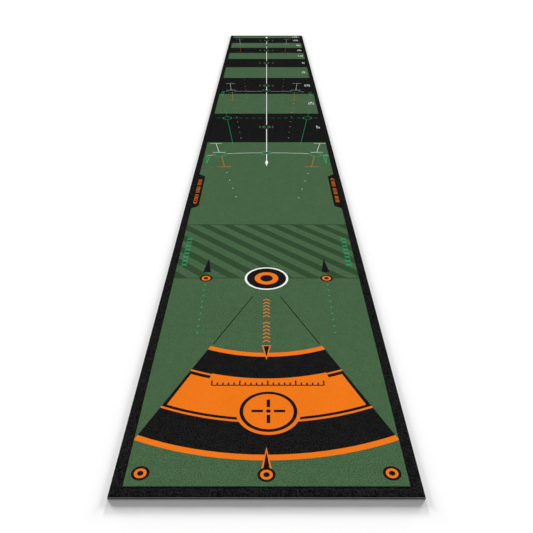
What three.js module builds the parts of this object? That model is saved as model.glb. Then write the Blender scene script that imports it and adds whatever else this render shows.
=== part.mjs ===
// Practice putting mat: a printed, tufted carpet runner bonded to a rubber sheet and framed by rubber edge strips.
// Millimetres, +Z up. The mat lies flat with its underside on z = 0, centred on x and y.
// It runs along Y: the target is at the -Y end and the player putts from the +Y end.
import * as THREE from "three";

// Overall sizes, seen from above.
const MAT_LENGTH = 4000;
const MAT_WIDTH = 500;

// Edge strips: how far they reach in from the outer edge, how tall they stand on the rubber sheet,
// and the radius that rounds their outer top edge.
const STRIP_WIDTH = 20;
const STRIP_HEIGHT = 3.2;
const STRIP_EDGE_RADIUS = 1.4;
const ROUNDING_SEGMENTS = 6;

// Thickness of each layer, from the floor up.
const RUBBER_SHEET_THICKNESS = 1.8;
const TIE_LAYER_THICKNESS = 0.3;
const FLEECE_THICKNESS = 0.4;
const PILE_HEIGHT = 2.9;

// Clearances: the bond line between two stacked layers, the gap between the carpet and the strips round it,
// and the gap between two strips at a mitred corner.
const BOND_LINE = 0.05;
const CARPET_CLEARANCE = 0.3;
const MITRE_CLEARANCE = 0.3;

// The materials of the four kinds of piece.
const BASE_RUBBER = new THREE.MeshStandardMaterial({ color: 0x2c2c2d, roughness: 0.7, metalness: 0 });
const STRIP_RUBBER = new THREE.MeshStandardMaterial({ color: 0x1b1b1b, roughness: 0.85, metalness: 0 });
const TIE_GUM = new THREE.MeshStandardMaterial({ color: 0x3a3835, roughness: 0.6, metalness: 0 });
const GREY_FLEECE = new THREE.MeshStandardMaterial({ color: 0x8d8d88, roughness: 0.95, metalness: 0 });
const GREEN_PILE = new THREE.MeshStandardMaterial({ color: 0x466346, roughness: 0.95, metalness: 0 });

const namedMesh = (name, geometry, material) => {
  const mesh = new THREE.Mesh(geometry, material);
  mesh.name = name;
  return mesh;
};

// A flat layer, centred on x and y, whose underside is at the given height.
const layer = (name, width, length, underside, thickness, material) => {
  const mesh = namedMesh(name, new THREE.BoxGeometry(width, length, thickness), material);
  mesh.position.z = underside + thickness / 2;
  return mesh;
};

// Section of an edge strip: x is the distance in from the mat's outer edge, y the height on the rubber sheet.
const stripSection = () => {
  const radius = Math.min(STRIP_EDGE_RADIUS, STRIP_HEIGHT / 2, STRIP_WIDTH / 2);
  const section = new THREE.Shape();
  section.moveTo(0, 0);
  section.lineTo(STRIP_WIDTH, 0);
  section.lineTo(STRIP_WIDTH, STRIP_HEIGHT);
  section.lineTo(radius, STRIP_HEIGHT);
  section.absarc(radius, STRIP_HEIGHT - radius, radius, Math.PI / 2, Math.PI, false);
  section.closePath();
  return section;
};

// A strip along one side of the mat, mitred at 45 degrees at both ends. It is made along X with its outer edge
// on y = -acrossMat / 2, and then turned about Z to its own side.
const edgeStrip = (name, sideLength, acrossMat, turn) => {
  const geometry = new THREE.ExtrudeGeometry(stripSection(), {
    depth: 1,
    bevelEnabled: false,
    curveSegments: ROUNDING_SEGMENTS,
  });
  const points = geometry.getAttribute("position");
  for (let i = 0; i < points.count; i++) {
    const inward = points.getX(i);
    const height = points.getY(i);
    const end = points.getZ(i) < 0.5 ? -1 : 1;
    const reach = sideLength / 2 - inward - MITRE_CLEARANCE / 2;
    points.setXYZ(i, end * reach, inward - acrossMat / 2, height);
  }
  geometry.computeVertexNormals();
  const mesh = namedMesh(name, geometry, STRIP_RUBBER);
  mesh.rotation.z = turn;
  mesh.position.z = RUBBER_SHEET_THICKNESS + BOND_LINE;
  return mesh;
};

const mat = new THREE.Group();

// The rubber sheet carries everything and is as large as the mat.
mat.add(layer("rubber_sheet", MAT_WIDTH, MAT_LENGTH, 0, RUBBER_SHEET_THICKNESS, BASE_RUBBER));

// The carpet fills the frame of strips: the tie gum, the fleece that the yarn is tufted into, and the pile.
const carpetWidth = MAT_WIDTH - 2 * (STRIP_WIDTH + CARPET_CLEARANCE);
const carpetLength = MAT_LENGTH - 2 * (STRIP_WIDTH + CARPET_CLEARANCE);
const tieUnderside = RUBBER_SHEET_THICKNESS + BOND_LINE;
const fleeceUnderside = tieUnderside + TIE_LAYER_THICKNESS + BOND_LINE;
const pileUnderside = fleeceUnderside + FLEECE_THICKNESS + BOND_LINE;
mat.add(layer("tie_gum", carpetWidth, carpetLength, tieUnderside, TIE_LAYER_THICKNESS, TIE_GUM));
mat.add(layer("tufting_fleece", carpetWidth, carpetLength, fleeceUnderside, FLEECE_THICKNESS, GREY_FLEECE));
mat.add(layer("printed_pile", carpetWidth, carpetLength, pileUnderside, PILE_HEIGHT, GREEN_PILE));

// Four edge strips, bonded on the margin of the rubber sheet.
mat.add(edgeStrip("edge_strip_target_end", MAT_WIDTH, MAT_LENGTH, 0));
mat.add(edgeStrip("edge_strip_right", MAT_LENGTH, MAT_WIDTH, Math.PI / 2));
mat.add(edgeStrip("edge_strip_start_end", MAT_WIDTH, MAT_LENGTH, Math.PI));
mat.add(edgeStrip("edge_strip_left", MAT_LENGTH, MAT_WIDTH, -Math.PI / 2));

export default mat;
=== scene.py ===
"""Practice putting mat: a printed, tufted carpet on a rubber sheet, framed by rubber edge strips.

The frame holds the plain solids. This script makes the finished pieces round them, in metres: the pile with
its print, the fleece and gum under it, the rubber sheet with its grip nubs, and the four edge strips.
"""
from math import cos, pi, radians, sin, sqrt

import bpy
from bpy.props import FloatProperty, FloatVectorProperty, PointerProperty
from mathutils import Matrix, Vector, noise
from mathutils.geometry import delaunay_2d_cdt


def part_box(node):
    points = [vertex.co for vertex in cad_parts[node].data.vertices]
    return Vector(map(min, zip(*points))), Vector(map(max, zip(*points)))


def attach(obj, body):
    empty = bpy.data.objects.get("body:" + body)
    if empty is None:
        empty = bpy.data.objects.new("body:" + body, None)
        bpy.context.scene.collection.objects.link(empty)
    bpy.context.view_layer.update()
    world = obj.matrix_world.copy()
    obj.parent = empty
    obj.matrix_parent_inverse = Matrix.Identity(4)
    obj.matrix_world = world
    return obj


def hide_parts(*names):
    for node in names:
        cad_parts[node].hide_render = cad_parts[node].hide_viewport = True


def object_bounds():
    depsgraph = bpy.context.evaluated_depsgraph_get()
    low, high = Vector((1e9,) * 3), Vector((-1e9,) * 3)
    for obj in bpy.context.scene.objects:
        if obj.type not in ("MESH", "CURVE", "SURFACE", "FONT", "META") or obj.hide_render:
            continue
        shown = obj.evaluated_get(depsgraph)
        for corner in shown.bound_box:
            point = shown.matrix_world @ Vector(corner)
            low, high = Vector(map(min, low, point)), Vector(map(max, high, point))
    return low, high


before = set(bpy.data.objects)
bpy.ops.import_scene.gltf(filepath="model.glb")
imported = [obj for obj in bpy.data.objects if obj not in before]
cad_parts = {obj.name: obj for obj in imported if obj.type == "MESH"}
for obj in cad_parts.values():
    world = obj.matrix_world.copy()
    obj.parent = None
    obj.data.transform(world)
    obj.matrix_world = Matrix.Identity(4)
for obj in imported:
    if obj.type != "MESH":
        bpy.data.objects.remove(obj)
cad_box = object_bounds()

bl_info = {
    "name": "Practice Putting Mat",
    "version": (1, 0, 0),
    "blender": (4, 5, 0),
    "location": "3D View > Sidebar > Putting Mat",
    "description": "Makes a printed, rubber backed putting mat from its frame",
    "category": "Add Mesh",
}

MM = 0.001
BODY = "root"
BAKE_MAP = "OFBake"

# What the frame says.
MAT_LOW, MAT_HIGH = (Vector(corner) for corner in cad_box)
PILE_LOW, PILE_HIGH = (Vector(corner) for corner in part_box("printed_pile"))
FLEECE_LOW, FLEECE_HIGH = (Vector(corner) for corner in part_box("tufting_fleece"))
GUM_LOW, GUM_HIGH = (Vector(corner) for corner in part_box("tie_gum"))
SHEET_LOW, SHEET_HIGH = (Vector(corner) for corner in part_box("rubber_sheet"))
STRIP_LOW, STRIP_HIGH = (Vector(corner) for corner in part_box("edge_strip_left"))
STRIP_WIDTH = STRIP_HIGH.x - STRIP_LOW.x
MITRE_GAP = 0.3 * MM


def linear(red, green, blue):
    """The colour that a screen shows as these three numbers from 0 to 255."""
    parts = (red / 255, green / 255, blue / 255)
    return tuple(p / 12.92 if p <= 0.04045 else ((p + 0.055) / 1.055) ** 2.4 for p in parts)


# ---------------------------------------------------------------- sizes and colours a user would change


def length(name, description, default):
    return FloatProperty(name=name, description=description, default=default, unit="LENGTH", precision=5)


def angle(name, description, degrees):
    return FloatProperty(name=name, description=description, default=radians(degrees), subtype="ANGLE")


def plain(name, description, default):
    return FloatProperty(name=name, description=description, default=default)


def dye(name, description, default):
    return FloatVectorProperty(name=name, description=description, default=default, size=3, min=0, max=1,
                               subtype="COLOR")


class PUTT_MakeSizes(bpy.types.PropertyGroup):
    """Sizes of what the frame leaves to the maker."""

    grid: length("Surface Step", "Distance between the points of a layer's surface", 10 * MM)
    relief: length("Pile Relief", "How far the pile's surface dips", 0.07 * MM)
    shoulder: length("Pile Shoulder", "Radius that rounds the pile's cut edge", 0.5 * MM)
    tuft_spacing: length("Tuft Spacing", "Distance between the tufts along the pile's edge", 1.05 * MM)
    tuft_height: length("Tuft Height", "Height of a tuft at the pile's edge", 1.3 * MM)
    tuft_radius: length("Tuft Radius", "Radius of a tuft's foot", 0.46 * MM)
    tuft_lean: plain("Tuft Lean", "How far a tuft leans out for its height", 0.5)
    strip_step: length("Strip Step", "Distance between the sections of an edge strip", 12.5 * MM)
    strip_rounding: length("Strip Rounding", "Radius of a strip's outer top edge", 1.4 * MM)
    strip_easing: length("Strip Easing", "Radius of a strip's inner top edge", 0.4 * MM)
    nub_spacing: length("Nub Spacing", "Distance between the grip nubs under the rubber sheet", 20 * MM)
    nub_height: length("Nub Height", "How far a grip nub stands out of the rubber sheet", 0.6 * MM)
    nub_radius: length("Nub Radius", "Radius of a grip nub at its foot", 4.5 * MM)
    rim_width: length("Rim Width", "Width of the flat rim round the grip nubs", 8 * MM)


class PUTT_PrintSizes(bpy.types.PropertyGroup):
    """Sizes of the print. Distances along the mat start at the target end."""

    target_distance: length("Bullseye Distance", "From the target end to the target's middle", 667 * MM)
    target_radius: length("Bullseye Radius", "Radius of the white ring, as large as a golf hole", 54 * MM)
    fan_angle: angle("Fan Angle", "Half of the angle that the fan spreads over", 22.9)
    hatch_period: length("Hatch Period", "Distance across from one hatch stripe to the next", 66 * MM)
    hatch_width: length("Hatch Width", "Width across the mat of a hatch stripe", 31.6 * MM)
    centre_line: length("Centre Line", "Width of the white line down the middle", 2.8 * MM)


class PUTT_Colours(bpy.types.PropertyGroup):
    """Colours of the dyes and of the rubber."""

    green: dye("Green", "Ground of the pile", linear(68, 95, 66))
    dark_green: dye("Dark Green", "Hatch stripes", linear(48, 72, 48))
    black: dye("Black", "Stripes and shapes printed black", linear(22, 22, 22))
    orange: dye("Orange", "Shapes printed orange", linear(230, 115, 25))
    white: dye("White", "White ring, lines and numbers", linear(232, 236, 232))
    teal: dye("Teal", "Side marks", linear(34, 158, 106))
    strip_black: dye("Strip Black", "Edge strips", linear(23, 23, 23))
    # The cut face is painted far paler than the strip's top: a painted highlight along the outer edge.
    cut_face_painted_highlight: dye("Cut Rubber", "Trimmed outer face of the edge strips", linear(128, 128, 128))
    sheet_rubber: dye("Sheet Rubber", "Rubber sheet", linear(44, 44, 45))
    gum: dye("Gum", "Tie layer", linear(62, 59, 55))
    fleece: dye("Fleece", "Non-woven fleece", linear(150, 150, 144))
    floor: dye("Floor", "Floor under the mat", linear(244, 244, 244))


class PUTT_StageSizes(bpy.types.PropertyGroup):
    """Camera and lights."""

    camera_height: length("Camera Height", "Height of the camera above the pile", 806.1 * MM)
    camera_back: length("Camera Distance", "From the mat's end to under the camera", 680.3 * MM)
    camera_tilt: angle("Camera Tilt", "Angle by which the camera looks down", 29.83)
    lens: plain("Lens", "Focal length in millimetres", 42.74)
    floor_size: length("Floor Size", "Length of a side of the floor", 60.0)
    back_height: angle("Back Height", "Angle of the back lamp above the floor", 9.1)
    back_softness: angle("Back Softness", "Angle that the back lamp spans", 4.2)
    back_strength: plain("Back Strength", "Strength of the back lamp", 3.76)
    side_height: angle("Side Height", "Angle of the two side lamps above the floor", 9.4)
    side_spread: angle("Side Spread", "Angle from the mat's length to each side lamp", 33.5)
    side_softness: angle("Side Softness", "Angle that a side lamp spans", 17)
    side_strength: plain("Side Strength", "Strength of each side lamp", 5.69)
    sky_light: plain("Sky Light", "Strength of the even light from all round", 0.34)


# ---------------------------------------------------------------- nodes written as expressions


class Socket:
    """An output of a node, which adds Math nodes to its tree when it is worked with as a number."""

    def __init__(self, nodes, output):
        self.nodes = nodes
        self.output = output

    def __add__(self, other):
        return self.nodes.maths("ADD", self, other)

    def __sub__(self, other):
        return self.nodes.maths("SUBTRACT", self, other)

    def __mul__(self, other):
        return self.nodes.maths("MULTIPLY", self, other)

    def __radd__(self, other):
        return self.nodes.maths("ADD", other, self)

    def __rsub__(self, other):
        return self.nodes.maths("SUBTRACT", other, self)

    def __rmul__(self, other):
        return self.nodes.maths("MULTIPLY", other, self)

    def kept_within(self, low, high):
        return self.nodes.node("ShaderNodeClamp", {}, {"Value": self, "Min": low, "Max": high})


class Nodes:
    """A node tree that is filled by expressions and by node()."""

    def __init__(self, tree):
        self.tree = tree

    def node(self, kind, settings, inputs, output=0):
        """A new node. Its settings are set first, and then its inputs get a value or a link."""
        made = self.tree.nodes.new(kind)
        for name, value in settings.items():
            setattr(made, name, value)
        for name, value in inputs.items():
            self.feed(made.inputs[name], value)
        return Socket(self, made.outputs[output]) if len(made.outputs) else made

    def feed(self, socket, value):
        if isinstance(value, Socket):
            self.tree.links.new(value.output, socket)
        elif value is not None:
            socket.default_value = value

    def maths(self, operation, first, second):
        return self.node("ShaderNodeMath", {"operation": operation}, {0: first, 1: second})

    def vector(self, operation, first, second):
        """Vector Math on two vectors, or on a vector and the number called Scale."""
        inputs = {0: first, "Scale": second} if operation == "SCALE" else {0: first, 1: second}
        return self.node("ShaderNodeVectorMath", {"operation": operation}, inputs)

    def random(self, low, high, seed):
        return self.node("FunctionNodeRandomValue", {}, {2: low, 3: high, "Seed": seed}, 1)


class Finish(Nodes):
    """A material: one Principled shader, fed by patterns on the piece's own coordinates."""

    def __init__(self, name, roughness, gloss):
        self.material = bpy.data.materials.new(name)
        self.material.use_nodes = True
        super().__init__(self.material.node_tree)
        self.tree.nodes.clear()
        self.shader = self.tree.nodes.new("ShaderNodeBsdfPrincipled")
        self.shader.inputs["Roughness"].default_value = roughness
        self.shader.inputs["Specular IOR Level"].default_value = gloss
        output = self.tree.nodes.new("ShaderNodeOutputMaterial")
        self.tree.links.new(self.shader.outputs[0], output.inputs["Surface"])
        self.place = self.node("ShaderNodeTexCoord", {}, {}, "Object")

    def set(self, **inputs):
        for name, value in inputs.items():
            self.feed(self.shader.inputs[name.replace("_", " ")], value)

    def noise(self, size, detail=2.0, stretch=(1, 1, 1), grit=0.5):
        """Blotches of about this size, from 0 to 1 round 0.5. More grit makes their detail coarser."""
        place = self.node("ShaderNodeMapping", {}, {"Vector": self.place, "Scale": stretch})
        inputs = {"Vector": place, "Scale": 1 / size, "Detail": detail, "Roughness": grit}
        return self.node("ShaderNodeTexNoise", {}, inputs)

    def cells(self, size):
        """Distance from the middles of cells of about this size: 0 in a middle, up to 1 at the edges."""
        return self.node("ShaderNodeTexVoronoi", {}, {"Vector": self.place, "Scale": 1 / size}, "Distance")

    def tinted(self, colour, amount):
        return self.vector("SCALE", colour[:3], amount)

    def mixed(self, first, second, factor):
        """The first colour where the factor is 0, the second where it is 1."""
        inputs = {0: factor, 6: self.colour(first), 7: self.colour(second)}
        return self.node("ShaderNodeMix", {"data_type": "RGBA"}, inputs, 2)

    def colour(self, value):
        return value if isinstance(value, Socket) else (*value[:3], 1)

    def bumped(self, height, distance):
        self.set(Normal=self.node("ShaderNodeBump", {}, {"Height": height, "Distance": distance}))


# ---------------------------------------------------------------- finishes


def cut_ends(finish, weight):
    """What the ends of fibres leave on a surface: their finest grain, and all their grain together, which
    has its middle at 0. The weight is that of the finest grain in the whole."""
    tone = finish.noise(1.9 * MM, 1.0, grit=0.6)
    fine = finish.noise(0.45 * MM, 3.0, grit=0.7)
    drifts = finish.noise(13 * MM, 1.0)
    return fine, 3.1 * (tone - 0.5) + 0.3 * (drifts - 0.5) + weight * (fine - 0.5)


def dyed_pile(name, colour, contrast, glint):
    """Short cut pile: tufts that differ in tone, painted shade in the gaps between them, painted glints
    on the cut ends of their fibres, and painted sheen in broad streaks where the pile lies differently."""
    finish = Finish(name, 0.95, 0.0)
    fibres, grain = cut_ends(finish, 1.4)
    gaps = finish.cells(1.5 * MM)
    lay = finish.noise(90 * MM, 2.0, (1, 0.45, 1))
    # Painted shade: the pile is darker towards the edges of the tuft cells, in the gaps between tufts. The
    # lay term adds painted sheen.
    shade = (1.0 + contrast * grain - 0.3 * (gaps - 0.45) + 0.08 * (lay - 0.5)).kept_within(0.15, 2.4)
    # Painted glints: the tips of the finest fibres are mixed towards a pale colour, as if they caught the
    # light.
    ends = ((fibres - 0.56) * 9).kept_within(0, 1) * glint
    pale = tuple(min(1.0, 0.75 * part + 0.16) for part in colour)
    finish.set(Base_Color=finish.mixed(finish.tinted(colour, shade), pale, ends))
    finish.set(Roughness=0.96 - 0.08 * fibres)
    finish.bumped(0.5 * fibres + 0.5 * (1 - gaps), 0.05 * MM)
    return finish.material


def fabric_marked_rubber(name, colour):
    """Rubber that keeps the imprint of the cloth it was pressed against."""
    finish = Finish(name, 0.9, 0.0)
    fine, uneven = cut_ends(finish, 1.2)
    pits = finish.cells(1.2 * MM)
    scuffs = finish.noise(60 * MM, 3.0, (1, 0.3, 1))
    # Painted shade: the imprint's pits, which the bump sinks at the cell edges, are also made darker.
    shade = (1.0 + 3.4 * uneven - 0.35 * (pits - 0.45) + 0.2 * (scuffs - 0.5)).kept_within(0.15, 2.8)
    glints = ((fine - 0.57) * 9).kept_within(0, 1) * 0.03
    finish.set(Base_Color=finish.mixed(finish.tinted(colour, shade), (0.2, 0.2, 0.2), glints))
    finish.set(Roughness=0.88 + 0.12 * (fine - 0.5) + 0.08 * (scuffs - 0.5))
    finish.bumped(0.6 * (1 - pits) + 0.4 * fine, 0.05 * MM)
    return finish.material


def trimmed_rubber(name, colour):
    """The face that a blade left, with drag lines along the cut. The pale colour that it wears is a
    painted highlight along the strip's outer edge.
    """
    finish = Finish(name, 0.7, 0.3)
    drag = finish.noise(0.7 * MM, 2.0, (0.04, 0.04, 1))
    crumbs = finish.noise(1.3 * MM)
    shade = 1.0 + 0.35 * (drag - 0.5) + 0.25 * (crumbs - 0.5)
    finish.set(Base_Color=finish.tinted(colour, shade))
    finish.set(Roughness=0.7 + 0.2 * (drag - 0.5))
    finish.bumped(0.7 * drag + 0.3 * crumbs, 0.12 * MM)
    return finish.material


def moulded_rubber(name, colour):
    """Rubber from a mould: even, slightly mottled, with dust in its fine grain."""
    finish = Finish(name, 0.7, 0.35)
    grain = finish.noise(1.6 * MM, 3.0)
    mottle = finish.noise(60 * MM, 3.0)
    dust = ((mottle - 0.52) * 4).kept_within(0, 1) * 0.09
    shade = 1.0 + 0.3 * (grain - 0.5) + 0.2 * (mottle - 0.5)
    finish.set(Base_Color=finish.mixed(finish.tinted(colour, shade), (0.22, 0.21, 0.2), dust))
    finish.set(Roughness=0.68 + 0.15 * (grain - 0.5) + 0.3 * dust)
    finish.bumped(grain, 0.1 * MM)
    return finish.material


def cured_gum(name, colour):
    """The gum that fills the roots of the tufts, drawn out in rows at the tufting gauge."""
    finish = Finish(name, 0.5, 0.4)
    rows = finish.node("ShaderNodeTexWave", {"bands_direction": "X"},
                       {"Vector": finish.place, "Scale": 1 / (20 * 2.5 * MM), "Distortion": 1.5}, "Fac")
    pits = finish.cells(3.0 * MM)
    shade = 1.0 + 0.3 * (rows - 0.5) - 0.3 * (pits - 0.4)
    finish.set(Base_Color=finish.tinted(colour, shade))
    finish.set(Roughness=0.5 + 0.2 * (pits - 0.4))
    finish.bumped(0.6 * rows + 0.4 * pits, 0.1 * MM)
    return finish.material


def needled_fleece(name, colour):
    """Non-woven fleece: matted fibres and the pricks of the needles in rows."""
    finish = Finish(name, 0.95, 0.1)
    fibres = finish.noise(2.0 * MM, 4.0, (1, 6, 1))
    crossing = finish.noise(2.0 * MM, 4.0, (6, 1, 1))
    pricks = finish.cells(2.5 * MM)
    # Painted shade: the fleece is darker at the middle of each needle prick, in its hole.
    shade = 1.0 + 0.35 * (fibres - 0.5) + 0.35 * (crossing - 0.5) - 0.25 * (0.4 - pricks)
    finish.set(Base_Color=finish.tinted(colour, shade))
    finish.set(Roughness=0.96 - 0.1 * fibres)
    finish.bumped(0.5 * fibres + 0.5 * crossing, 0.08 * MM)
    return finish.material


# ---------------------------------------------------------------- meshes


class BakeCells:
    """Lays a long surface out in a square map: cut across into equal lengths, which stand side by side."""

    MARGIN = 0.012

    def __init__(self, columns, rows, cuts):
        self.columns = columns
        self.rows = rows
        self.cuts = cuts

    def spot(self, cell, across, along):
        """The place in the map of a point that lies at these shares, from 0 to 1, of a cell."""
        column, row = cell % self.columns, cell // self.columns
        span = 1 - 2 * self.MARGIN
        return ((column + self.MARGIN + span * across) / self.columns,
                (row + self.MARGIN + span * along) / self.rows)


LAYER_CELLS = BakeCells(3, 3, 8)


def cut_lines(low, high, cuts):
    """Where a length is cut into equal pieces, its ends left out."""
    return [low + (high - low) * i / cuts for i in range(1, cuts)]


def map_layer(mesh, low, high, seen):
    """Gives a flat layer its bake map. Its seen side, up or down, and the edges folded out beside it fill
    eight cells, and the side that is never seen shares the ninth."""
    fold = high.z - low.z + 1 * MM
    face_z = high.z if seen > 0 else low.z
    wide, long = high.x - low.x + 2 * fold, high.y - low.y
    cell_length = long / LAYER_CELLS.cuts
    uv = mesh.uv_layers.new(name=BAKE_MAP).uv
    for face in mesh.polygons:
        hidden = face.normal.z * seen < -0.5 and abs(face.center.z - face_z) > 0.4 * (high.z - low.z)
        cell = min(LAYER_CELLS.cuts - 1, max(0, int((face.center.y - low.y) / cell_length)))
        for corner in face.loop_indices:
            place = mesh.vertices[mesh.loops[corner].vertex_index].co
            if hidden:
                spot = LAYER_CELLS.spot(LAYER_CELLS.cuts, (place.x - low.x) / (high.x - low.x),
                                        (place.y - low.y) / long)
            else:
                drop = abs(place.z - face_z)
                on_end = abs(face.normal.y) > 0.7
                on_side = abs(face.normal.x) > 0.7
                x = place.x + (drop if place.x > 0 else -drop) * on_side
                y = place.y + (drop if place.y > 0 else -drop) * on_end
                across = (x - low.x + fold) / wide
                along = (y - low.y - cell * cell_length + fold) / (cell_length + 2 * fold)
                spot = LAYER_CELLS.spot(cell, across, along)
            uv[corner].vector = spot


def new_piece(name, mesh, *materials):
    """An object at the origin that wears these materials."""
    for material in materials:
        mesh.materials.append(material)
    piece = bpy.data.objects.new(name, mesh)
    bpy.context.scene.collection.objects.link(piece)
    return piece


def smooth(mesh, sharpest=radians(40)):
    mesh.polygons.foreach_set("use_smooth", [True] * len(mesh.polygons))
    mesh.set_sharp_from_angle(angle=sharpest)
    mesh.update()


def grid_points(low, high, step, keep_off):
    """Points a step apart that fill a rectangle, kept off its edge."""
    points = []
    columns = round((high[0] - low[0]) / step)
    rows = round((high[1] - low[1]) / step)
    for row in range(1, rows):
        y = low[1] + (high[1] - low[1]) * row / rows
        shift = 0.25 if row % 2 else -0.25
        for column in range(1, columns):
            x = low[0] + (high[0] - low[0]) * (column + shift) / columns
            if min(x - low[0], high[0] - x) > keep_off:
                points.append((x, y))
    return points


def edge_points(low, high, step):
    """A rectangle's outline as points a step apart, anticlockwise. The long sides have one at every cut."""
    across = round((high[0] - low[0]) / step)
    along = LAYER_CELLS.cuts * round((high[1] - low[1]) / step / LAYER_CELLS.cuts)
    width, reach = high[0] - low[0], high[1] - low[1]
    outline = [(low[0] + width * i / across, low[1]) for i in range(across)]
    outline += [(high[0], low[1] + reach * i / along) for i in range(along)]
    outline += [(high[0] - width * i / across, high[1]) for i in range(across)]
    outline += [(low[0], high[1] - reach * i / along) for i in range(along)]
    return outline


def stepped(places, step):
    """A closed outline with points put in, so that no two neighbours are further apart than a step."""
    fine = []
    for start, end in zip(places, places[1:] + places[:1]):
        start, end = Vector(start), Vector(end)
        parts = max(1, round((end - start).length / step))
        fine += [start.lerp(end, i / parts) for i in range(parts)]
    return fine


def divided(outline, inside, shapes, cuts):
    """Divides the outline into triangles that follow every shape's edge. Returns the points, and for each
    triangle its three points and the number of the last shape that covers it, or -1."""
    points = list(outline)
    faces = [list(range(len(points)))]
    for shape in shapes:
        faces.append(list(range(len(points), len(points) + len(shape))))
        points += shape
    edges = []
    for cut in cuts:
        edges += [(len(points) + i, len(points) + i + 1) for i in range(len(cut) - 1)]
        points += cut
    points = [Vector((round(x, 6), round(y, 6))) for x, y in points + inside]
    found, _, triangles, _, _, covers = delaunay_2d_cdt(points, edges, faces, 1, 1e-6, True)
    kept = [(list(t), max(c) - 1) for t, c in zip(triangles, covers) if 0 in c]
    used = sorted({i for t, _ in kept for i in t})
    number = {old: new for new, old in enumerate(used)}
    return [found[i] for i in used], [([number[i] for i in t], shape) for t, shape in kept]


def rim_edges(triangles):
    """The outer edges of a field of triangles, each as (start, end, triangle), anticlockwise round it."""
    sides = {}
    for index, (corners, _) in enumerate(triangles):
        for start, end in zip(corners, corners[1:] + corners[:1]):
            sides[start, end] = index
    return [(start, end, index) for (start, end), index in sides.items() if (end, start) not in sides]


LIP = 1.2 * MM  # from a layer's rounded edge to the first line of points inside it
DIP_FADE = 15 * MM  # the stretch over which a layer's dips fade out towards its edge
ROUNDING_STEPS = 3


def moved_out(place, middle, half, out):
    """A point of a rectangle's outline, after the rectangle has grown by out on every side."""
    return (middle[0] + (place[0] - middle[0]) * (1 + out / half[0]),
            middle[1] + (place[1] - middle[1]) * (1 + out / half[1]))


def cap(points, ring, low, high, z, way):
    """Faces over a flat ring of numbered points, which look up where way is 1 and down where it is -1. They
    are cut on the middle line wherever the bake map is, and the points there are added to points."""
    outline = [Vector(points[i][:2]) for i in ring]
    inside = [Vector(((low.x + high.x) / 2, y)) for y in cut_lines(low.y, high.y, LAYER_CELLS.cuts)]
    whole = [list(range(len(ring)))]
    _, _, corners, origins, _, _ = delaunay_2d_cdt(outline + inside, [], whole, 1, 2e-6, True)
    number = []
    for old, *_ in origins:
        if old < len(ring):
            number.append(ring[old])
        else:
            number.append(len(points))
            points.append((*inside[old - len(ring)], z))
    return [[number[i] for i in face[::way]] for face in corners]


def layer_mesh(name, low, high, step, shapes, slots, shoulder, sink):
    """A closed flat layer. Its top is divided by the shapes, sinks by sink(x, y) and is rounded at its
    edge. The edge and the underside follow the top's outline."""
    inner_low, inner_high = (low.x + shoulder, low.y + shoulder), (high.x - shoulder, high.y - shoulder)
    across = round((inner_high[0] - inner_low[0]) / step)
    cuts = [[(inner_low[0] + (inner_high[0] - inner_low[0]) * i / across, y) for i in range(across + 1)]
            for y in cut_lines(low.y, high.y, LAYER_CELLS.cuts)]
    margin = [(inner_low[0] + LIP, inner_low[1] + LIP), (inner_high[0] - LIP, inner_low[1] + LIP),
              (inner_high[0] - LIP, inner_high[1] - LIP), (inner_low[0] + LIP, inner_high[1] - LIP)]
    cuts.append(stepped(margin, step) + margin[:1])
    shapes = [stepped(shape, 1.2 * step) for shape in shapes]
    outline = edge_points(inner_low, inner_high, step)
    flat, triangles = divided(outline, grid_points(inner_low, inner_high, step, 0.4 * step), shapes, cuts)
    rim = rim_edges(triangles)
    on_rim = sorted({start for start, _, _ in rim})

    def level(x, y):
        """Height of the top, whose dips fade out towards the edge."""
        room = min(x - inner_low[0], inner_high[0] - x, y - inner_low[1], inner_high[1] - y) - 2 * LIP
        return high.z - sink(x, y) * min(1.0, max(0.0, room / DIP_FADE))

    points = [(p.x, p.y, level(p.x, p.y)) for p in flat]
    faces = [corners for corners, _ in triangles]
    slot = [slots[shape] if shape >= 0 else 0 for _, shape in triangles]

    turns = [pi / 2 * i / ROUNDING_STEPS for i in range(1, ROUNDING_STEPS + 1)]
    rows = [(shoulder * sin(turn), shoulder * (1 - cos(turn))) for turn in turns]
    rows.append((shoulder, high.z - low.z))
    middle = (low + high) / 2
    half = (inner_high[0] - middle.x, inner_high[1] - middle.y)
    above = {i: i for i in on_rim}
    for out, down in rows:
        below = {}
        for i in on_rim:
            below[i] = len(points)
            points.append((*moved_out(flat[i], middle, half, out), high.z - down))
        for start, end, index in rim:
            faces.append([above[end], above[start], below[start], below[end]])
            slot.append(slot[index])
        above = below

    following = {start: end for start, end, _ in rim}
    loop = [rim[0][0]]
    while following[loop[-1]] != loop[0]:
        loop.append(following[loop[-1]])
    under = cap(points, [above[i] for i in loop], low, high, low.z, -1)
    faces += under
    slot += [0] * len(under)

    mesh = bpy.data.meshes.new(name)
    mesh.from_pydata(points, [], faces)
    mesh.polygons.foreach_set("material_index", slot)
    mesh.update()
    return mesh


# ---------------------------------------------------------------- the print


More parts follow.
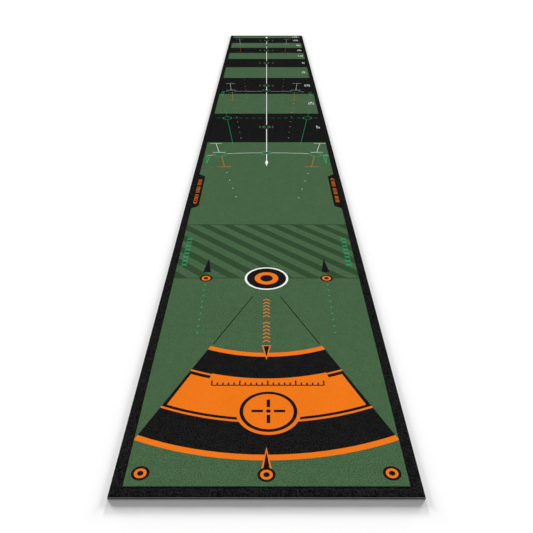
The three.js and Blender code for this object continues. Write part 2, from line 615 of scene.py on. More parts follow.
class Artwork:
    """The printed design: flat shapes in the order they are painted, each in one dye.

    A place is (x, distance) in millimetres, where the distance is measured along the mat from the target
    end."""

    def __init__(self):
        self.shapes = []
        self.dyes = []

    def paint(self, colour, outline):
        """Adds a shape. Its outline may run either way round, and is kept anticlockwise."""
        places = [(x * MM, MAT_LOW.y + distance * MM) for x, distance in outline]
        area = sum(a[0] * b[1] - b[0] * a[1] for a, b in zip(places, places[1:] + places[:1]))
        self.shapes.append(places if area > 0 else places[::-1])
        self.dyes.append(colour)

    def box(self, colour, left, right, near, far):
        self.paint(colour, [(left, near), (right, near), (right, far), (left, far)])

    def disc(self, colour, centre, radius, corners=40):
        turns = [2 * pi * i / corners for i in range(corners)]
        self.paint(colour, [(centre[0] + radius * cos(t), centre[1] + radius * sin(t)) for t in turns])

    def band(self, colour, centre, inner, outer, start, end):
        """Part of a ring round centre. Angles are 0 towards the target end and grow towards the right."""
        steps = max(4, round((end - start) / radians(2.5)))
        turns = [start + (end - start) * i / steps for i in range(steps + 1)]
        arc = [(outer, t) for t in turns] + [(inner, t) for t in reversed(turns)]
        self.paint(colour, [(centre[0] + r * sin(t), centre[1] - r * cos(t)) for r, t in arc])

    def ring(self, colour, centre, inner, outer):
        for start in (0, pi):
            self.band(colour, centre, inner, outer, start, start + pi)

    def line(self, colour, start, end, width):
        along = Vector((end[0] - start[0], end[1] - start[1])).normalized() * width / 2
        across = Vector((-along.y, along.x))
        start, end = Vector(start), Vector(end)
        self.paint(colour, [start - across, end - across, end + across, start + across])

    def strokes(self, colour, places, width):
        for start, end in zip(places, places[1:]):
            self.line(colour, start, end, width)

    def dots(self, colour, start, end, count, radius):
        for i in range(count):
            centre = Vector(start).lerp(Vector(end), i / (count - 1))
            self.disc(colour, centre, radius, 12)


GREEN, DARK_GREEN, BLACK, ORANGE, WHITE, TEAL = range(6)

# Everything from here to the end of the print is in millimetres, and distances start at the target end.
PRINT_EDGE = PILE_HIGH.x / MM
PRINT_END = 3980
FOOT = 304.8
# Edges of the stripes across the mat. Every second stripe is black, starting with the first.
STRIPE_EDGES = [1698, 2087, 2420, 2748, 3001, 3224, 3396, 3561, 3723, 3901]
BLACK_STRIPES = list(zip(STRIPE_EDGES[::2], STRIPE_EDGES[1::2]))
# Which of seven bars each numeral has: a to f from the top round to the right, then g in the middle.
NUMERAL_BARS = {"0": "abcdef", "1": "bc", "2": "abged", "3": "abgcd", "4": "fgbc", "5": "afgcd",
                "6": "afgedc", "7": "abc", "8": "abcdefg", "9": "gfabcd"}


def paint_stripes(art):
    for near, far in BLACK_STRIPES:
        art.box(BLACK, -PRINT_EDGE, PRINT_EDGE, near, far)


def paint_hatch(art, sizes):
    """Diagonal stripes between the target and the first clear stretch."""
    near, half, depth = sizes.target_distance / MM, PRINT_EDGE, 304
    far = near + depth
    period, width = sizes.hatch_period / MM, sizes.hatch_width / MM
    first = 45.9 - near % period
    count = int((2 * half + depth) / period) + 2
    for i in range(count):
        left = first + period * (i - 4)
        if left - depth > half or left + width < -half:
            continue
        right = left + width
        art.paint(DARK_GREEN, [(left, near), (right, near), (right - depth, far), (left - depth, far)])
    for edge in (near + 1.5, far - 1.5):
        art.line(DARK_GREEN, (-half, edge), (half, edge), 4)


def paint_eye(art, centre, outer, iris, pupil):
    """A black disc with an orange ring in it."""
    art.disc(BLACK, centre, outer)
    art.disc(ORANGE, centre, iris)
    art.disc(BLACK, centre, pupil)


def paint_target(art, sizes):
    distance = sizes.target_distance / MM
    art.disc(WHITE, (0, distance), sizes.target_radius / MM, 72)
    paint_eye(art, (0, distance), 48.8, 29.4, 15.6)
    for x in (-150, 149):
        paint_eye(art, (x, distance), 15.6, 11, 5.8)
        foot, tip, half = distance + 30, distance + 101, 9.8
        art.paint(BLACK, [(x - half, foot), (x + half, foot), (x, tip)])
        art.dots(TEAL, (x, 437.5), (x, 637), 9, 2.3)


def paint_spike(art, x, foot, tip, half, base):
    """A black spike with an orange outline, which is base thick across its foot."""
    art.paint(ORANGE, [(x - half, foot), (x + half, foot), (x, tip)])
    inside, reach = 0.64 * half, tip - foot
    near = foot + base * (1 if reach > 0 else -1)
    art.paint(BLACK, [(x - inside, near), (x + inside, near), (x, foot + 0.78 * reach)])


def paint_fan(art, sizes):
    """The fan between the target and the target end, in rings round the target."""
    centre, spread = (0, sizes.target_distance / MM), sizes.fan_angle
    panel = spread - radians(0.85)
    notch_left, notch_right = -radians(16.3), radians(17.9)

    def full(colour, inner, outer, start=-spread, end=spread):
        art.band(colour, centre, inner, outer, start, end)

    full(BLACK, 313.5, 579.5)
    full(ORANGE, 300.5, 313.5)
    full(ORANGE, 579.5, 592)
    full(ORANGE, 382, 493.5, -panel, panel)
    full(ORANGE, 499, 504)
    for start, end in ((-spread, notch_left), (notch_right, spread)):
        full(BLACK, 381, 384, start, end)
        full(ORANGE, 384, 389, start, end)
    full(BLACK, 389, 397.5, -panel, notch_left)
    full(BLACK, 389, 397.5, notch_right, panel)
    full(BLACK, 492.5, 499)
    for side in (-1, 1):
        art.line(BLACK, (side * 112, 397), (side * 32, 585), 2.2)
    paint_spike(art, 0, 392.5, 342.5, 9.5, 2.8)


def paint_ring_mark(art):
    """The ring on the fan, with plain cross hairs in it."""
    x, distance = 3.5, 193.5
    art.disc(ORANGE, (x, distance), 60, 64)
    art.ring(BLACK, (x, distance), 46.2, 53)
    for across, along in ((1, 0), (-1, 0), (0, 1), (0, -1)):
        start = (x + across * 10, distance + along * 10)
        end = (x + across * 31, distance + along * 31)
        art.line(BLACK, start, end, 6.5)
    art.disc(BLACK, (x, distance), 4.5, 20)


def paint_ruler(art):
    """A row of ruler marks across the fan, in place of lettering."""
    left, right, base, stroke = -106, 111, 265, 2.8
    count = 20
    art.line(BLACK, (left, base), (right, base), stroke)
    for i in range(count + 1):
        x = left + (right - left) * i / count
        tall = 14 if i % 5 == 0 else 8
        art.line(BLACK, (x, base), (x, base + tall), stroke)


def paint_chevrons(art):
    """A column of open chevrons that point at the target, in place of lettering."""
    half, rise, pitch, first = 7.5, 7, 13.4, 404
    for i in range(13):
        if i == 6:
            continue
        foot = first + i * pitch
        art.strokes(ORANGE, [(-half, foot), (0, foot + rise), (half, foot)], 2.6)


def paint_end_marks(art):
    """The three dots along the target end, and the spike over the middle one."""
    places = ((-206, 47.5), (0, 44.5), (205, 47.5))
    paint_spike(art, 0, 57.5, 105, 8.6, 0)
    for x, distance in places:
        paint_eye(art, (x, distance), 15, 10.3, 5.2)


def paint_warning_marks(art):
    """Crosses beside the hatching, in place of lettering."""
    for x in (-212, 212.5):
        for i in range(8):
            distance, half = 735 + 20.5 * i, 7
            art.line(TEAL, (x - half, distance - half * 0.8), (x + half, distance + half * 0.8), 2.4)
            art.line(TEAL, (x - half, distance + half * 0.8), (x + half, distance - half * 0.8), 2.4)


def paint_side_tabs(art):
    """Black tabs on both sides, each with an arrow and a row of blocks in place of lettering."""
    inner, outer = 208.5, PRINT_EDGE
    near, far, chamfer = 1100, 1344, 18
    for side in (-1, 1):
        art.paint(BLACK, [(side * outer, near - chamfer), (side * inner, near), (side * inner, far),
                          (side * outer, far + chamfer)])
        x, half = side * 222, 6
        tip, way = (1118, 1) if side < 0 else (1326, -1)
        head = tip + way * 14
        art.strokes(ORANGE, [(x - half, head), (x, tip), (x + half, head)], 2.6)
        for i in range(17):
            if i % 6 == 5:
                continue
            distance = tip + way * (26 + 10.5 * i)
            art.line(ORANGE, (x - half, distance), (x + half, distance), 3.4)


def paint_centre_line(art, sizes):
    """The white line down the middle, with an arrowhead at the end that is nearer the target."""
    x, half, width = 0.5, 5.6, sizes.centre_line / MM
    tip, widest, root = 1440, 1478, 1499
    art.paint(WHITE, [(x, tip), (x + half, widest), (x + width / 2, root), (x - width / 2, root),
                      (x - half, widest)])
    breaks = [(1564, 1591), (1866, 1925), (2452, 2484), (2560, 2622), (3078, 3160), (3442, 3530),
              (3613, 3675), (3782, 3880)]
    start = root
    for near, far in breaks:
        art.line(WHITE, (x, start), (x, near), width)
        start = far
    narrow, wide = 3892, 3940
    art.paint(WHITE, [(x - 2, narrow), (x + 2, narrow), (x + 8, wide), (x - 8, wide)])


def paint_stage_marks(art):
    """A ring between brackets in the middle of each black stripe."""
    for (near, far), reach in zip(BLACK_STRIPES, (30, 37, 42, 44, 46)):
        centre = (0, (near + far) / 2)
        art.ring(GREEN, centre, 10.5, 18)
        for middle in (pi / 2, -pi / 2):
            art.band(GREEN, centre, reach - 4.5, reach, middle - radians(32), middle + radians(32))


class Gate:
    """A gate: two posts, each a ring between a white bracket and an orange one, joined by a white line.

    Outs are distances from the gate's middle line, weight thickens or thins its lines and bow bends the
    joining one."""

    def __init__(self, **sizes):
        for name, size in sizes.items():
            setattr(self, name, size)

    def paint(self, art):
        for side in (-1, 1):
            self.paint_post(art, side)
        art.ring(TEAL, (0, self.distance + 17.5), 19 - 4 * self.weight, 19)

    def paint_post(self, art, side):
        foot, top, bottom = self.distance + 24, self.distance + self.rise, self.distance - self.drop
        weight, post, half = self.weight, self.post_out, 24

        def line(colour, start, end, width):
            start, end = ((self.middle + side * out, distance) for out, distance in (start, end))
            art.line(colour, start, end, width)

        line(WHITE, (self.bar_out, top), (self.bar_out + 45.5, top), 2.2 * weight)
        line(WHITE, (self.stem_out, top), (post, foot), 1.5 * weight)
        line(WHITE, (post - half, foot), (post + half, foot), 2.4 * weight)
        ring_at = (self.middle + side * (post - 5), self.distance)
        art.ring(TEAL, ring_at, 22 - 3 * weight, 22)
        line(ORANGE, (self.foot_out, self.distance - 14), (self.foot_end, bottom), 1.1 * weight)
        line(ORANGE, (self.foot_end - half, bottom), (self.foot_end + half, bottom), 1.9 * weight)
        steps = 6
        sweep = [((post - 29) * (1 - i / steps) + (20 - side * self.middle) * i / steps,
                  self.distance + self.bow * (1 + sin(pi / 2 * i / steps))) for i in range(steps + 1)]
        for start, end in zip(sweep, sweep[1:]):
            line(WHITE, start, end, 2.3 * weight)
        line(WHITE, (post + 19, self.distance - 6), (post + 42, self.distance - 9), 2 * weight)
        x, near, far = side * 214, self.distance - 92, self.distance - 16
        left, right = x - 6, x + 6
        art.strokes(TEAL, [(left, far), (x, near), (right, far), (left, far)], 2.4 * weight)


GATES = [
    Gate(middle=5.5, distance=1560, bar_out=178, stem_out=201, post_out=182.5, foot_out=171, foot_end=153.5,
         rise=124, drop=126, weight=1.0, bow=9),
    Gate(middle=-15, distance=2470, bar_out=148, stem_out=172, post_out=161, foot_out=153, foot_end=145,
         rise=157, drop=165, weight=0.6, bow=0),
    Gate(middle=-23, distance=3652, bar_out=140, stem_out=162, post_out=150, foot_out=148, foot_end=140,
         rise=208, drop=225, weight=0.45, bow=0),
]


def paint_guides(art):
    """Dotted and drawn guide lines that close in on the middle from gate to gate."""
    rows = [((-137.5, 1379), (-96.5, 1170), 4, 2.0), ((143, 1371), (102, 1163), 4, 2.0),
            ((-142, 2175), (-101.5, 1750), 7, 1.6), ((126, 2250), (87, 1752), 8, 1.6),
            ((-125, 2850), (-90, 2282), 9, 1.4), ((97, 2850), (71, 2280), 9, 1.4)]
    for start, end, count, radius in rows:
        art.dots(WHITE, start, end, count, radius)
    for top, bottom in ((-166.5, -130), (172.5, 131.5)):
        lean = (top - bottom) / 315
        art.line(TEAL, (top, 1990), (bottom, 1675), 1.2)
        art.line(TEAL, (top + 55 * lean, 2045), (top + 160 * lean, 2150), 0.9)
    distance = 2020
    for x in (-170, 177):
        art.ring(TEAL, (x, distance), 17.6, 20)
        art.line(TEAL, (x - 45, distance), (x - 27, distance), 1.7)
        art.line(TEAL, (x + 27, distance), (x + 45, distance), 1.7)
    for i in range(9):
        x = -112 + 28 * i
        art.line(TEAL, (x - 8, distance), (x + 8, distance), 1.7)


def paint_numeral(art, numeral, centre, width, height, stroke):
    """One numeral, made to be read from the start end, so its top points at the target end."""
    x, distance = centre
    left, right = x + width / 2, x - width / 2
    top, middle, foot = distance - height / 2, distance, distance + height / 2
    bars = {"a": ((left, top), (right, top)), "b": ((right, top), (right, middle)),
            "c": ((right, middle), (right, foot)), "d": ((right, foot), (left, foot)),
            "e": ((left, foot), (left, middle)), "f": ((left, middle), (left, top)),
            "g": ((left, middle), (right, middle))}
    for name in NUMERAL_BARS[numeral]:
        start, end = (Vector(place) for place in bars[name])
        over = (end - start).normalized() * stroke / 2
        art.line(WHITE, start - over, end + over, stroke)


def paint_distances(art, sizes):
    """On each stripe, its middle's distance from the target in feet, to a tenth."""
    wide, pitch, tall, stroke, outer = 9, 13.5, 36, 2.4, 219
    edges = [*STRIPE_EDGES, PRINT_END]
    for near, far in zip(edges, edges[1:]):
        distance = (near + far) / 2
        tenths = round((distance - sizes.target_distance / MM) / FOOT * 10)
        whole, part = str(tenths // 10), str(tenths % 10)
        x = outer - wide / 2
        if part != "0":
            paint_numeral(art, part, (x - pitch * len(whole), distance), wide, tall, stroke)
            point, foot = x - pitch * (len(whole) - 0.5), distance + tall / 2
            art.box(WHITE, point - stroke, point, foot - stroke, foot + stroke)
        for i, numeral in enumerate(whole):
            paint_numeral(art, numeral, (x - pitch * i, distance), wide, tall, stroke)


def paint_all(sizes):
    art = Artwork()
    paint_stripes(art)
    paint_hatch(art, sizes)
    paint_fan(art, sizes)
    paint_ring_mark(art)
    paint_ruler(art)
    paint_chevrons(art)
    paint_end_marks(art)
    paint_target(art, sizes)
    paint_warning_marks(art)
    paint_side_tabs(art)
    paint_guides(art)
    for gate in GATES:
        gate.paint(art)
    paint_centre_line(art, sizes)
    paint_stage_marks(art)
    paint_distances(art, sizes)
    return art


# ---------------------------------------------------------------- growing what repeats


def grown(name, path, tree, inputs, mesh_name):
    """Runs a Geometry Nodes tree on a mesh and returns the result as a plain mesh."""
    carrier = bpy.data.objects.new(name, path)
    bpy.context.scene.collection.objects.link(carrier)
    modifier = carrier.modifiers.new("Grow", "NODES")
    modifier.node_group = tree
    sockets = {item.name: item.identifier for item in tree.interface.items_tree if item.in_out == "INPUT"}
    for label, value in inputs.items():
        modifier[sockets[label]] = value
    bpy.context.view_layer.update()
    graph = bpy.context.evaluated_depsgraph_get()
    mesh = bpy.data.meshes.new_from_object(carrier.evaluated_get(graph), depsgraph=graph)
    mesh.name = mesh_name
    carrier.modifiers.remove(modifier)
    bpy.data.objects.remove(carrier)
    return mesh


def growth_tree(name, numbers):
    """A Geometry Nodes tree with a Geometry input, a number input for each name, and a Material input."""
    tree = bpy.data.node_groups.new(name, "GeometryNodeTree")
    face = tree.interface
    face.new_socket(name="Geometry", in_out="INPUT", socket_type="NodeSocketGeometry")
    for label in numbers:
        face.new_socket(name=label, in_out="INPUT", socket_type="NodeSocketFloat")
    face.new_socket(name="Material", in_out="INPUT", socket_type="NodeSocketMaterial")
    face.new_socket(name="Geometry", in_out="OUTPUT", socket_type="NodeSocketGeometry")
    nodes = Nodes(tree)
    source = tree.nodes.new("NodeGroupInput")
    given = {label: Socket(nodes, source.outputs[label]) for label in ["Geometry", *numbers, "Material"]}
    return tree, nodes, given


def finish_tree(nodes, given, geometry):
    """Ends a tree: instances made real, then the material."""
    real = nodes.node("GeometryNodeRealizeInstances", {}, {"Geometry": geometry})
    dressed = nodes.node("GeometryNodeSetMaterial", {}, {"Geometry": real, "Material": given["Material"]})
    nodes.node("NodeGroupOutput", {}, {"Geometry": dressed})


def tuft_tree():
    """Tufts along a path that runs anticlockwise round the pile: small tapered bundles that lean out."""
    tree, nodes, given = growth_tree("Edge Tufts", ["Spacing", "Height", "Radius", "Lean"])
    path = nodes.node("GeometryNodeMeshToCurve", {}, {"Mesh": given["Geometry"]})
    stations = nodes.node("GeometryNodeResampleCurve", {"mode": "LENGTH"},
                          {"Curve": path, "Length": given["Spacing"]})
    tuft = nodes.node("GeometryNodeMeshCone", {},
                      {"Vertices": 5, "Radius Top": given["Radius"] * 0.4,
                       "Radius Bottom": given["Radius"], "Depth": given["Height"]})
    tangent = nodes.node("GeometryNodeInputTangent", {}, {})
    outward = nodes.vector("CROSS_PRODUCT", tangent, (0, 0, 1))
    lean = nodes.random(0.6, 1.5, 3)
    drift = nodes.random(-0.35, 0.35, 5)
    tilt = nodes.vector("ADD", nodes.vector("SCALE", outward, lean * given["Lean"]),
                        nodes.vector("SCALE", tangent, drift))
    way = nodes.vector("ADD", tilt, (0, 0, 1))
    turn = nodes.node("FunctionNodeAlignRotationToVector", {"axis": "Z"}, {"Vector": way})
    size = nodes.random(0.75, 1.15, 9)
    tufts = nodes.node("GeometryNodeInstanceOnPoints", {},
                       {"Points": stations, "Instance": tuft, "Rotation": turn, "Scale": size})
    finish_tree(nodes, given, tufts)
    return tree


def nub_tree():
    """Grip nubs at the points of a mesh, pointing down."""
    tree, nodes, given = growth_tree("Grip Nubs", ["Height", "Radius", "Root"])
    depth = given["Height"] + given["Root"]
    nub = nodes.node("GeometryNodeMeshCone", {},
                     {"Vertices": 8, "Radius Top": given["Radius"] * 0.8, "Radius Bottom": given["Radius"],
                      "Depth": depth})
    nubs = nodes.node("GeometryNodeInstanceOnPoints", {},
                      {"Points": given["Geometry"], "Instance": nub, "Rotation": (pi, 0, 0)})
    finish_tree(nodes, given, nubs)
    return tree


def path_mesh(name, spans):
    """Open paths, each a list of points, as a mesh of edges."""
    points, edges = [], []
    for span in spans:
        first = len(points)
        points += span
        edges += [(i, i + 1) for i in range(first, len(points) - 1)]
    mesh = bpy.data.meshes.new(name)
    mesh.from_pydata(points, edges, [])
    return mesh


# ---------------------------------------------------------------- pieces


def sizes_of(context):
    return context.scene.putting_mat_sizes


def colours_of(context):
    return context.scene.putting_mat_colours


class PUTT_OT_rubber_sheet(bpy.types.Operator):
    """Make the rubber sheet, with a rim and grip nubs on its underside"""

    bl_idname = "putting_mat.rubber_sheet"
    bl_label = "Rubber Sheet"

    def execute(self, context):
        sizes = sizes_of(context)
        low, high = SHEET_LOW, SHEET_HIGH
        recess = low.z + sizes.nub_height
        slope = sizes.nub_height * 1.5
        rings = [(0, high.z), (0, low.z), (sizes.rim_width, low.z), (sizes.rim_width + slope, recess)]
        outline = edge_points((low.x, low.y), (high.x, high.y), sizes.grid)
        middle, half = (low + high) / 2, (high - low) / 2
        points = []
        for inset, z in rings:
            points += [(*moved_out(place, middle, half, -inset), z) for place in outline]
        count, faces = len(outline), []
        for ring in range(len(rings) - 1):
            for i in range(count):
                after = (i + 1) % count
                faces.append([ring * count + after, ring * count + i, (ring + 1) * count + i,
                              (ring + 1) * count + after])
        for ring, way in ((0, 1), (len(rings) - 1, -1)):
            places = list(range(ring * count, (ring + 1) * count))
            faces += cap(points, places, low, high, rings[ring][1], way)
        body = bpy.data.meshes.new("rubber_sheet_body")
        body.from_pydata(points, [], faces)
        material = moulded_rubber("sheet rubber", colours_of(context).sheet_rubber)
        nubs = self.nubs(sizes, low, high, recess, material)
        piece = new_piece("rubber_base_sheet", joined("rubber_base_sheet", body, nubs), material)
        smooth(piece.data)
        map_layer(piece.data, low, high, -1)
        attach(piece, BODY)
        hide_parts("rubber_sheet")
        return {"FINISHED"}

    def nubs(self, sizes, low, high, recess, material):
        """Nubs in staggered rows, clear of the rim."""
        inset = sizes.rim_width + sizes.nub_radius + 4 * MM
        row_step = sizes.nub_spacing * sqrt(0.75)
        rows = int((high.y - low.y - 2 * inset) / row_step)
        columns = int((high.x - low.x - 2 * inset) / sizes.nub_spacing)
        root = 0.2 * MM
        spots = []
        for row in range(rows + 1):
            y = (row - rows / 2) * row_step
            for column in range(columns + row % 2):
                spots.append(((column - (columns - 1 + row % 2) / 2) * sizes.nub_spacing, y, recess + root))
        mesh = bpy.data.meshes.new("nub_spots")
        mesh.from_pydata(spots, [], [])
        inputs = {"Height": sizes.nub_height, "Radius": sizes.nub_radius, "Root": root,
                  "Material": material}
        return grown("grip_nub_carrier", mesh, nub_tree(), inputs, "grip_nubs")


def joined(name, *meshes):
    """One mesh that holds the points and faces of several, with no materials."""
    points, faces = [], []
    for mesh in meshes:
        first = len(points)
        points += [tuple(vertex.co) for vertex in mesh.vertices]
        faces += [[first + i for i in face.vertices] for face in mesh.polygons]
    made = bpy.data.meshes.new(name)
    made.from_pydata(points, [], faces)
    return made


def gentle_dips(depth, wave):
    """A function that sinks a surface by up to depth, in soft dips about a wave across."""

    def sink(x, y):
        spot = Vector((x / wave, y / wave, 7.3))
        return depth * min(1.0, max(0.0, 0.5 + 0.6 * noise.noise(spot)))

    return sink


class PUTT_OT_tie_gum(bpy.types.Operator):
    """Make the layer of gum that bonds the carpet to the rubber sheet"""

    bl_idname = "putting_mat.tie_gum"
    bl_label = "Tie Gum"

    def execute(self, context):
        sizes = sizes_of(context)
        mesh = layer_mesh("gum_tie_layer", GUM_LOW, GUM_HIGH, 2 * sizes.grid, [], [], 0.1 * MM,
                          gentle_dips(0.05 * MM, 35 * MM))
        piece = new_piece("gum_tie_layer", mesh, cured_gum("cured gum", colours_of(context).gum))
        smooth(mesh)
        map_layer(mesh, GUM_LOW, GUM_HIGH, 1)
        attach(piece, BODY)
        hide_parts("tie_gum")
        return {"FINISHED"}


class PUTT_OT_fleece(bpy.types.Operator):
    """Make the fleece that the yarn is tufted into"""

    bl_idname = "putting_mat.fleece"
    bl_label = "Tufting Fleece"

    def execute(self, context):
        sizes = sizes_of(context)
        mesh = layer_mesh("needled_fleece", FLEECE_LOW, FLEECE_HIGH, 2 * sizes.grid, [], [], 0.1 * MM,
                          gentle_dips(0.06 * MM, 25 * MM))
        material = needled_fleece("needled fleece", colours_of(context).fleece)
        piece = new_piece("needled_fleece", mesh, material)
        smooth(mesh)
        map_layer(mesh, FLEECE_LOW, FLEECE_HIGH, 1)
        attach(piece, BODY)
        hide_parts("tufting_fleece")
        return {"FINISHED"}


class PUTT_OT_printed_pile(bpy.types.Operator):
    """Make the printed pile and the row of tufts round its cut edge"""

    bl_idname = "putting_mat.printed_pile"
    bl_label = "Printed Pile"

    def execute(self, context):
        sizes, colours = sizes_of(context), colours_of(context)
        art = paint_all(context.scene.putting_mat_print)
        dyes = [
            dyed_pile("pile dyed green", colours.green, 0.75, 0.02),
            dyed_pile("pile dyed dark green", colours.dark_green, 0.3, 0.015),
            dyed_pile("pile dyed black", colours.black, 4.6, 0.03),
            dyed_pile("pile dyed orange", colours.orange, 0.08, 0.01),
            dyed_pile("pile dyed white", colours.white, 0.08, 0.02),
            dyed_pile("pile dyed teal", colours.teal, 0.15, 0.01),
        ]
        mesh = layer_mesh("velour_pile", PILE_LOW, PILE_HIGH, sizes.grid, art.shapes, art.dyes,
                          sizes.shoulder, gentle_dips(sizes.relief, 55 * MM))
        pile = new_piece("velour_pile", mesh, *dyes)
        smooth(mesh, radians(60))
        map_layer(mesh, PILE_LOW, PILE_HIGH, 1)
        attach(pile, BODY)
        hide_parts("printed_pile")
        tufts = [self.tufts(sizes, "green_edge_tufts", self.green_spans(), dyes[GREEN]),
                 self.tufts(sizes, "black_edge_tufts", self.black_spans(), dyes[BLACK])]
        return {"FINISHED"}

    def side_bands(self):
        """Where the long edges are black: the tabs and the stripes, from the target end."""
        bands = [(1082, 1362), *BLACK_STRIPES]
        return [(MAT_LOW.y + near * MM, MAT_LOW.y + far * MM) for near, far in bands]

    def rim(self):
        """The left, right, near and far lines that the tufts stand on, and the height of their middles."""
        inset, height = 0.45 * MM, PILE_HIGH.z - 1.2 * MM
        return PILE_LOW.x + inset, PILE_HIGH.x - inset, PILE_LOW.y + inset, PILE_HIGH.y - inset, height

    def side_spans(self, bands):
        left, right, _, _, z = self.rim()
        spans = []
        for start, end in bands:
            spans += [[(right, start, z), (right, end, z)], [(left, end, z), (left, start, z)]]
        return spans

    def black_spans(self):
        return self.side_spans(self.side_bands())

    def green_spans(self):
        left, right, near_end, far_end, z = self.rim()
        stops = [near_end, *(stop for band in self.side_bands() for stop in band), far_end]
        ends = [[(left, near_end, z), (right, near_end, z)], [(right, far_end, z), (left, far_end, z)]]
        return ends + self.side_spans(zip(stops[::2], stops[1::2]))

    def tufts(self, sizes, name, spans, material):
        inputs = {"Spacing": sizes.tuft_spacing, "Height": sizes.tuft_height, "Radius": sizes.tuft_radius,
                  "Lean": sizes.tuft_lean, "Material": material}
        mesh = grown(name + "_carrier", path_mesh(name + "_path", spans), tuft_tree(), inputs, name)
        mesh.materials.clear()
        piece = new_piece(name, mesh, material)
        smooth(mesh, radians(50))
        map_layer(mesh, PILE_LOW, PILE_HIGH, 1)
        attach(piece, BODY)
        return piece


class PUTT_OT_edge_strips(bpy.types.Operator):
    """Make the four mitred rubber edge strips"""

    bl_idname = "putting_mat.edge_strips"
    bl_label = "Edge Strips"

    CELL_LENGTH = 450 * MM  # the length of a strip that fills one cell of its bake map
    CUT_FACES = 4  # the faces of the section that the blade left, counted from the outer foot. They reach up into the rounding and wear the painted highlight

    def execute(self, context):
        colours, sizes = colours_of(context), sizes_of(context)
        top = fabric_marked_rubber("edge strip rubber", colours.strip_black)
        cut = trimmed_rubber("trimmed edge rubber painted highlight", colours.cut_face_painted_highlight)
        wide, long = MAT_HIGH.x - MAT_LOW.x, MAT_HIGH.y - MAT_LOW.y
        for side, reach, across, turn in (("target_end", wide, long, 0), ("right", long, wide, 1),
                                          ("start_end", wide, long, 2), ("left", long, wide, 3)):
            mesh = self.strip(f"{side}_edge_binding", sizes, reach, across, turn)
            piece = new_piece(mesh.name, mesh, top, cut)
            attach(piece, BODY)
            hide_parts(f"edge_strip_{side}")
        return {"FINISHED"}

    def section(self, sizes):
        """Points of the section as (inward, height), from the outer foot over the top to the inner foot."""
        height, outer, inner = STRIP_HIGH.z - STRIP_LOW.z, sizes.strip_rounding, sizes.strip_easing
        points = [(0, 0), (0, (height - outer) / 2)]
        for i in range(7):
            turn = pi / 2 * i / 6
            points.append((outer * (1 - cos(turn)), height - outer * (1 - sin(turn))))
        for share in (0.33, 0.66):
            points.append((outer + share * (STRIP_WIDTH - outer - inner), height))
        for i in range(4):
            turn = pi / 2 * i / 3
            points.append((STRIP_WIDTH - inner * (1 - sin(turn)), height - inner * (1 - cos(turn))))
        return points + [(STRIP_WIDTH, 0)]

    def wear(self, x, inward, height, turn):
        """How far a point is off: inwards, where the outer face was trimmed, and down in a dip of the top."""
        inwards = down = 0
        if inward < 2 * MM:
            inwards = 0.06 * MM * (1 + noise.noise(Vector((x / 0.09, turn * 3.1, 0.4))))
        if height > 0:
            down = 0.05 * MM * (1 + noise.noise(Vector((x / 0.05, inward / 0.02, turn * 5.7))))
        return inwards, down

    def strip(self, name, sizes, reach, across, turn):
        """A strip along one side, turned to it in quarter turns. Its ends are mitred."""
        section = self.section(sizes)
        cuts = max(1, round(reach / self.CELL_LENGTH))
        stations = cuts * max(1, round(reach / sizes.strip_step / cuts))
        lap = [0.0]
        for (a, b), (c, d) in zip(section, section[1:]):
            lap.append(lap[-1] + sqrt((c - a) ** 2 + (d - b) ** 2))
        girth = lap[-1] + STRIP_WIDTH
        points = []
        for station in range(stations + 1):
            middle = (station / stations - 0.5) * reach
            for inward, height in section:
                limit = reach / 2 - inward - MITRE_GAP / 2
                x = middle * limit / (reach / 2)
                inwards, down = self.wear(x, inward, height, turn)
                place = (x, inward + inwards - across / 2, STRIP_LOW.z + height - down)
                points.append(turned(place, turn))
        count = len(section)
        cells = BakeCells(1, cuts + 1, cuts)
        faces, slots, spots = [], [], []
        for station in range(stations):
            cell = station * cuts // stations
            first = station * count
            start = (station * cuts % stations) / stations
            end = start + cuts / stations
            for i in range(count):
                after = (i + 1) % count
                faces.append([first + i, first + i + count, first + after + count, first + after])
                slots.append(1 if i < self.CUT_FACES else 0)
                low = lap[i] / girth
                high = lap[after] / girth if after else 1.0
                spots += [cells.spot(cell, *share) for share in ((start, low), (end, low), (end, high),
                                                                 (start, high))]
        for end, way in ((0, 1), (stations, -1)):
            faces.append(list(range(end * count, (end + 1) * count))[::way])
            slots.append(0)
            shift = 0.1 if end else 0.6
            for inward, height in section[::way]:
                share = (shift + 0.3 * inward / STRIP_WIDTH, 0.1 + 0.8 * height / (4 * MM))
                spots.append(cells.spot(cuts, *share))
        mesh = bpy.data.meshes.new(name)
        mesh.from_pydata(points, [], faces)
        mesh.polygons.foreach_set("material_index", slots)
        layer = mesh.uv_layers.new(name=BAKE_MAP)
        layer.uv.foreach_set("vector", [part for spot in spots for part in spot])
        smooth(mesh)
        return mesh


def turned(place, quarters):
    """A place turned about Z by quarter turns."""
    x, y, z = place
    for _ in range(quarters):
        x, y = -y, x
    return x, y, z


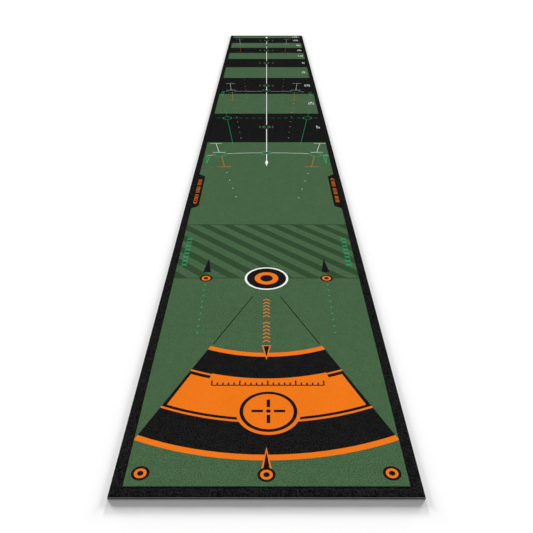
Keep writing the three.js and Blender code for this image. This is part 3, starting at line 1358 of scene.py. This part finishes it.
class PUTT_OT_stage(bpy.types.Operator):
    """Set the camera, the lights and the floor"""

    bl_idname = "putting_mat.stage"
    bl_label = "Stage"

    def execute(self, context):
        sizes, colours = context.scene.putting_mat_stage, colours_of(context)
        self.camera(context, sizes)
        self.lamps(context, sizes)
        self.floor(sizes, colours)
        context.scene.view_settings.view_transform = "Standard"
        return {"FINISHED"}

    def camera(self, context, sizes):
        data = bpy.data.cameras.new("stage_camera")
        data.lens = sizes.lens
        data.clip_end = 100
        camera = bpy.data.objects.new("stage_camera", data)
        camera.location = (0, MAT_LOW.y - sizes.camera_back, MAT_HIGH.z + sizes.camera_height)
        camera.rotation_euler = (pi / 2 - sizes.camera_tilt, 0, 0)
        context.scene.collection.objects.link(camera)
        context.scene.camera = camera

    def lamps(self, context, sizes):
        self.lamp(context, "back_lamp", sizes.back_height, 0, sizes.back_softness, sizes.back_strength)
        for side, name in ((-1, "left_lamp"), (1, "right_lamp")):
            self.lamp(context, name, sizes.side_height, side * sizes.side_spread, sizes.side_softness,
                      sizes.side_strength)
        world = bpy.data.worlds.new("studio")
        world.use_nodes = True
        nodes = Nodes(world.node_tree)
        world.node_tree.nodes.clear()
        seen = nodes.node("ShaderNodeLightPath", {}, {}, "Is Camera Ray")
        strength = seen * (1.0 - sizes.sky_light) + sizes.sky_light
        sky = nodes.node("ShaderNodeBackground", {}, {"Color": (1, 1, 1, 1), "Strength": strength})
        nodes.node("ShaderNodeOutputWorld", {}, {"Surface": sky})
        context.scene.world = world

    def lamp(self, context, name, height, turn, softness, strength):
        """A soft lamp behind the mat's start end, turned about the upright from there."""
        data = bpy.data.lights.new(name, "SUN")
        data.energy = strength
        data.angle = softness
        lamp = bpy.data.objects.new(name, data)
        lamp.rotation_euler = (-(pi / 2 - height), 0, turn)
        context.scene.collection.objects.link(lamp)

    def floor(self, sizes, colours):
        half = sizes.floor_size / 2
        mesh = bpy.data.meshes.new("floor")
        corners = [(-half, -half, -0.1 * MM), (half, -half, -0.1 * MM), (half, half, -0.1 * MM),
                   (-half, half, -0.1 * MM)]
        mesh.from_pydata(corners, [], [[0, 1, 2, 3]])
        finish = Finish("pale floor", 0.9, 0.0)
        finish.set(Base_Color=(*colours.floor, 1))
        new_piece("floor", mesh, finish.material)


class PUTT_PT_panel(bpy.types.Panel):
    """Lists the pieces of the mat"""

    bl_idname = "PUTT_PT_panel"
    bl_label = "Putting Mat"
    bl_space_type = "VIEW_3D"
    bl_region_type = "UI"
    bl_category = "Putting Mat"

    def draw(self, context):
        for operator in OPERATORS:
            self.layout.operator(operator.bl_idname)
        for group in (getattr(context.scene, name) for name in GROUPS):
            box = self.layout.box()
            for name in group.__annotations__:
                box.prop(group, name)


OPERATORS = (PUTT_OT_stage, PUTT_OT_rubber_sheet, PUTT_OT_tie_gum, PUTT_OT_fleece, PUTT_OT_printed_pile,
             PUTT_OT_edge_strips)
GROUPS = {"putting_mat_sizes": PUTT_MakeSizes, "putting_mat_print": PUTT_PrintSizes,
          "putting_mat_colours": PUTT_Colours, "putting_mat_stage": PUTT_StageSizes}
CLASSES = (*GROUPS.values(), *OPERATORS, PUTT_PT_panel)


def register():
    for made in CLASSES:
        bpy.utils.register_class(made)
    for name, group in GROUPS.items():
        setattr(bpy.types.Scene, name, PointerProperty(type=group))


def unregister():
    for name in GROUPS:
        delattr(bpy.types.Scene, name)
    for made in reversed(CLASSES):
        bpy.utils.unregister_class(made)


def main():
    register()
    for operator in OPERATORS:
        group, name = operator.bl_idname.split(".")
        getattr(getattr(bpy.ops, group), name)()


if __name__ == "__main__":
    main()
